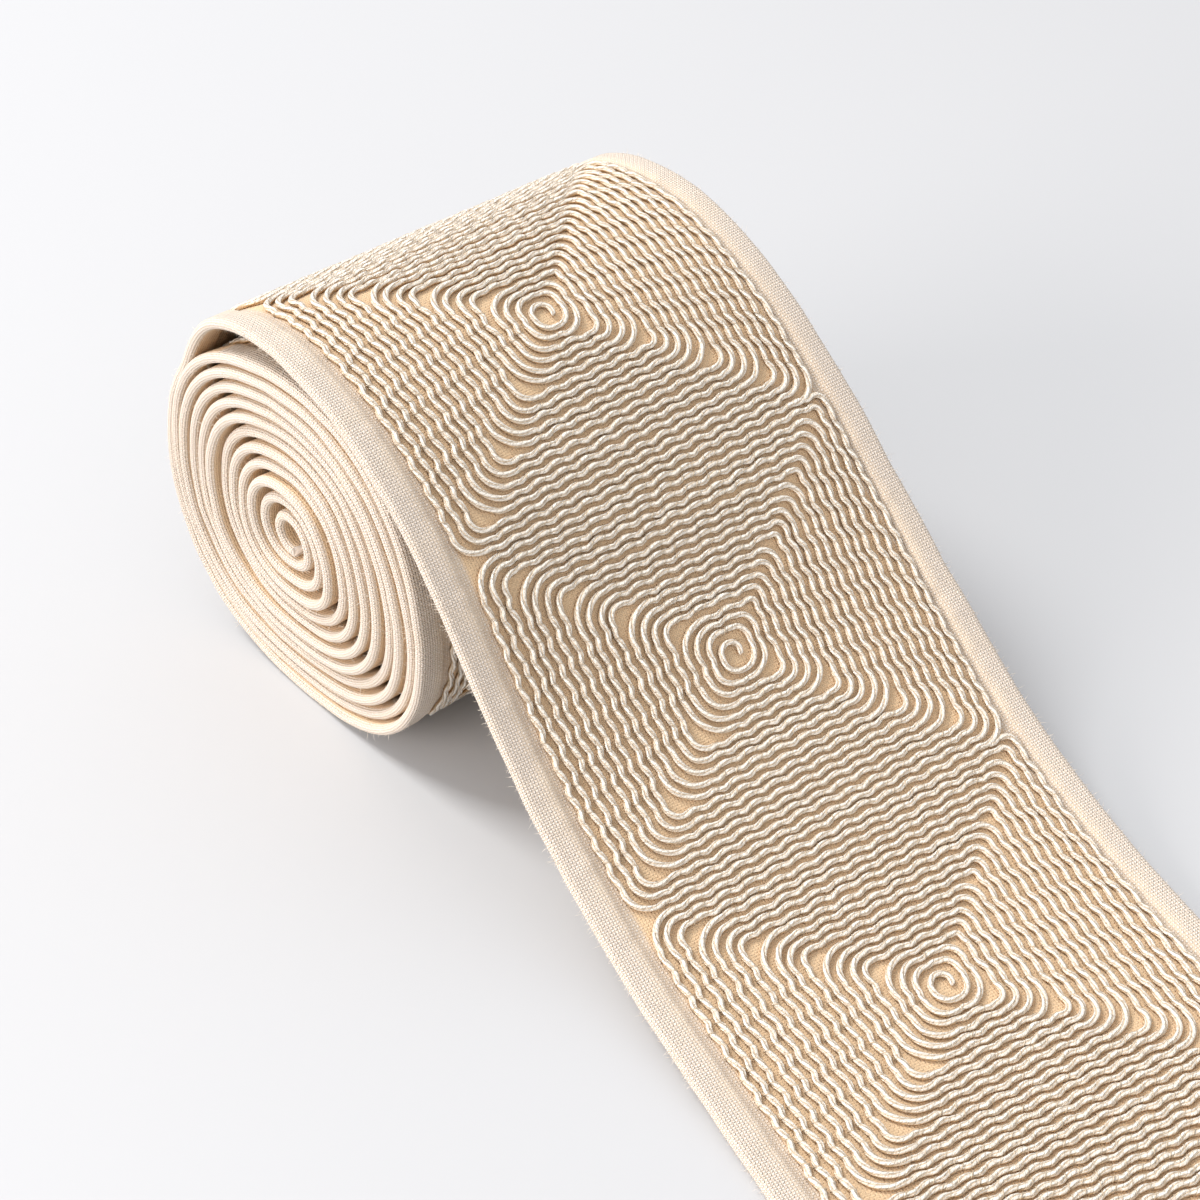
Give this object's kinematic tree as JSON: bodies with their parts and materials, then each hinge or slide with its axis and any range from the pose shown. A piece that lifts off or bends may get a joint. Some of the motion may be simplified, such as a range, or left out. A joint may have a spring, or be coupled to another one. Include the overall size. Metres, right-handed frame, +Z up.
{
  "type": "embroidered tape trim",
  "caption": "Wide woven tape with couched cord in nested squares, wound into a roll with its loose end running down to lie flat",
  "frame": {"origin": "under the middle of the whole part's bounding box, at the level it rests on", "axes": "+X the way the loose end runs off the roll, +Y along the roll's axis away from the viewer, +Z up"},
  "size_m": [0.3418, 0.1554, 0.0931],
  "materials": {
    "tape": "matte"
  },
  "bodies": {
    "root": {"wound_roll": "tape", "loose_end": "tape"}
  },
  "joints": []
}
